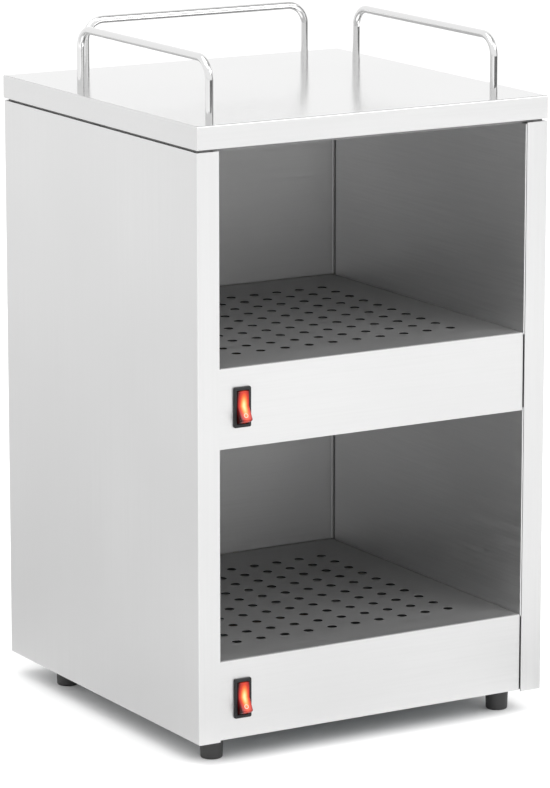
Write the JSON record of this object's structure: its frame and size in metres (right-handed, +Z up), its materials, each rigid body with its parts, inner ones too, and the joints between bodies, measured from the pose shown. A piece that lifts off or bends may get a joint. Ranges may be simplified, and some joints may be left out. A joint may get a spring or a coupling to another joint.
{
  "type": "cup warming cabinet",
  "caption": "Free-standing stainless cup warming cabinet: open bays over perforated heated shelves, illuminated rocker switches on the aprons, rod rails on a flat lid.",
  "frame": {"origin": "centre of the body in plan, on the counter under the feet", "axes": "+X to the right seen from the front, +Y to the back, +Z up; the open bays face -Y"},
  "size_m": [0.3, 0.3147, 0.5206],
  "materials": {
    "stainless_body": "fine satin stainless",
    "stainless_lid": "bright polished stainless",
    "stainless_shelf": "satin stainless, perforated",
    "stainless_bay": "satin stainless",
    "galvanised_sheet": "galvanised",
    "chrome_rod": "bright chrome",
    "zinc_plated": "zinc plated",
    "black_rubber": "moulded, matt",
    "black_nylon": "moulded, semi-matt",
    "red_lens": "translucent, lit from behind",
    "neon_glass": "clear",
    "brass": "plain",
    "heater_sheath": "oxidised",
    "ceramic": "matt",
    "loom_sleeve": "braided glass sleeve"
  },
  "bodies": {
    "cabinet": {"base_plate": "galvanised_sheet", "ceiling_panel": "stainless_bay", "cord_gland": "black_nylon", "foot_screws": "zinc_plated", "front_left_foot": "black_rubber", "front_right_foot": "black_rubber", "gland_locknut": "black_nylon", "left_rail": "chrome_rod", "left_side_panel": "stainless_body", "lid_brackets": "galvanised_sheet", "lid_screws": "zinc_plated", "lower_back_liner": "stainless_bay", "lower_heater": "heater_sheath", "lower_heater_brackets": "galvanised_sheet", "lower_left_liner": "stainless_bay", "lower_right_liner": "stainless_bay", "lower_shelf": "stainless_shelf", "lower_switch_housing": "black_nylon", "lower_switch_terminals": "brass", "lower_thermostat": "ceramic", "lower_wiring_loom": "loom_sleeve", "rail_nuts": "zinc_plated", "rear_left_foot": "black_rubber", "rear_panel": "stainless_body", "rear_panel_screws": "zinc_plated", "rear_rail": "chrome_rod", "rear_right_foot": "black_rubber", "right_rail": "chrome_rod", "right_side_panel": "stainless_body", "terminal_block": "ceramic", "top_lid": "stainless_lid", "upper_back_liner": "stainless_bay", "upper_heater": "heater_sheath", "upper_heater_brackets": "galvanised_sheet", "upper_left_liner": "stainless_bay", "upper_right_liner": "stainless_bay", "upper_shelf": "stainless_shelf", "upper_shelf_brackets": "galvanised_sheet", "upper_switch_housing": "black_nylon", "upper_switch_terminals": "brass", "upper_thermostat": "ceramic", "upper_underpan": "stainless_bay", "upper_wiring_loom": "loom_sleeve"},
    "lower_rocker": {"lower_rocker": "red_lens", "lower_plunger": "brass", "lower_lamp": "neon_glass"},
    "lower_contact": {"lower_contact_lever": "brass"},
    "upper_rocker": {"upper_rocker": "red_lens", "upper_plunger": "brass", "upper_lamp": "neon_glass"},
    "upper_contact": {"upper_contact_lever": "brass"}
  },
  "joints": [
    {"name": "lower_rocker_tip", "type": "hinge", "parent": "cabinet", "child": "lower_rocker", "pos_m": [-0.1128, -0.14792, 0.049], "axis": [1, 0, 0], "range_deg": [0, 30]},
    {"name": "lower_contact_tip", "type": "hinge", "parent": "cabinet", "child": "lower_contact", "pos_m": [-0.1128, -0.13862, 0.049], "axis": [1, 0, 0], "range_deg": [-10, 0]},
    {"name": "upper_rocker_tip", "type": "hinge", "parent": "cabinet", "child": "upper_rocker", "pos_m": [-0.1128, -0.14792, 0.2675], "axis": [1, 0, 0], "range_deg": [0, 30]},
    {"name": "upper_contact_tip", "type": "hinge", "parent": "cabinet", "child": "upper_contact", "pos_m": [-0.1128, -0.13862, 0.2675], "axis": [1, 0, 0], "range_deg": [-10, 0]}
  ],
  "couplings": [
    {"joint": "lower_contact_tip", "follows": "lower_rocker_tip", "ratio": -0.3333},
    {"joint": "upper_contact_tip", "follows": "upper_rocker_tip", "ratio": -0.3333}
  ]
}
